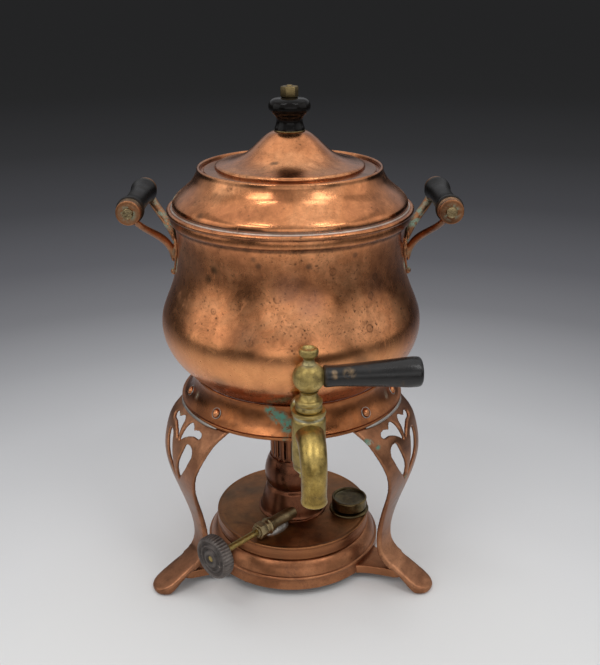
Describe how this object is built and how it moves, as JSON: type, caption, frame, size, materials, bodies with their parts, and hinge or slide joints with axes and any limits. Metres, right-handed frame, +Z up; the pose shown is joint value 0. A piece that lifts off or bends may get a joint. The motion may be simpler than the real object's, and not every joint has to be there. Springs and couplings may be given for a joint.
{
  "type": "spirit kettle on stand",
  "caption": "Bellied copper kettle with inset knobbed lid, side grips and a brass tap, on a pierced cabriole-legged stand with a spirit burner on its tray.",
  "frame": {"origin": "on the kettle's upright axis, at the floor the three feet stand on", "axes": "+Z up, -Y towards the tap, +X towards the grip at the tap lever's side"},
  "size_m": [0.2286, 0.2647, 0.3583],
  "materials": {
    "pot_copper": "worn polish",
    "shoulder_copper": "worn polish",
    "stand_copper": "dark patina",
    "rivet_copper": "worn",
    "black_wood": "black polish",
    "handle_brass": "aged",
    "tap_brass": "aged and scratched",
    "burner_brass": "dark patina",
    "solder": "dull",
    "knob_iron": "dull"
  },
  "bodies": {
    "stand": {"stand_ring": "stand_copper", "leg_left": "stand_copper", "leg_right": "stand_copper", "leg_back": "stand_copper", "leg_rivets": "rivet_copper", "tray": "stand_copper", "tray_rivets": "rivet_copper"},
    "pot": {"pot_shell": "pot_copper", "pot_shoulder": "shoulder_copper", "bracket_right": "pot_copper", "bracket_left": "pot_copper", "bracket_rivets_right": "rivet_copper", "bracket_rivets_left": "rivet_copper", "grip_right": "black_wood", "grip_left": "black_wood", "grip_ferrules_right": "handle_brass", "grip_ferrules_left": "handle_brass", "grip_rod_right": "handle_brass", "grip_rod_left": "handle_brass", "grip_nut_right": "handle_brass", "grip_nut_left": "handle_brass", "tap_body": "tap_brass"},
    "lid": {"lid_shell": "shoulder_copper", "lid_washer": "handle_brass", "lid_knob": "black_wood", "lid_stud": "handle_brass", "lid_nut": "handle_brass", "lid_inner_nut": "handle_brass"},
    "tap_key": {"tap_plug": "tap_brass", "tap_lever": "black_wood", "tap_tang": "tap_brass", "tap_washer": "tap_brass", "tap_nut": "tap_brass"},
    "burner": {"burner_reservoir": "burner_brass", "burner_column": "burner_brass", "burner_tube": "burner_brass", "burner_head": "burner_brass", "filler_collar": "burner_brass", "valve_tube": "burner_brass", "valve_gland_nut": "burner_brass", "valve_solder": "solder"},
    "valve": {"valve_rod": "tap_brass", "valve_knob": "knob_iron"},
    "filler_cap": {"filler_cap": "burner_brass"}
  },
  "joints": [
    {"name": "pot_lift", "type": "slide", "parent": "stand", "child": "pot", "axis": [0, 0, 1], "range_m": [0, 0.12]},
    {"name": "lid_lift", "type": "slide", "parent": "pot", "child": "lid", "axis": [0, 0, 1], "range_m": [0, 0.08]},
    {"name": "tap_turn", "type": "hinge", "parent": "pot", "child": "tap_key", "pos_m": [0.0115, -0.1094, 0.198], "axis": [0, 0, 1], "range_deg": [-90, 0]},
    {"name": "burner_slide", "type": "slide", "parent": "stand", "child": "burner", "axis": [0, -1, 0], "range_m": [0, 0.15]},
    {"name": "valve_turn", "type": "hinge", "parent": "burner", "child": "valve", "pos_m": [0.01079, -0.01042, 0.0447], "axis": [-0.6947, -0.7193, 0], "range_deg": [0, 540]},
    {"name": "filler_cap_lift", "type": "slide", "parent": "burner", "child": "filler_cap", "axis": [0, 0, 1], "range_m": [0, 0.03]}
  ]
}
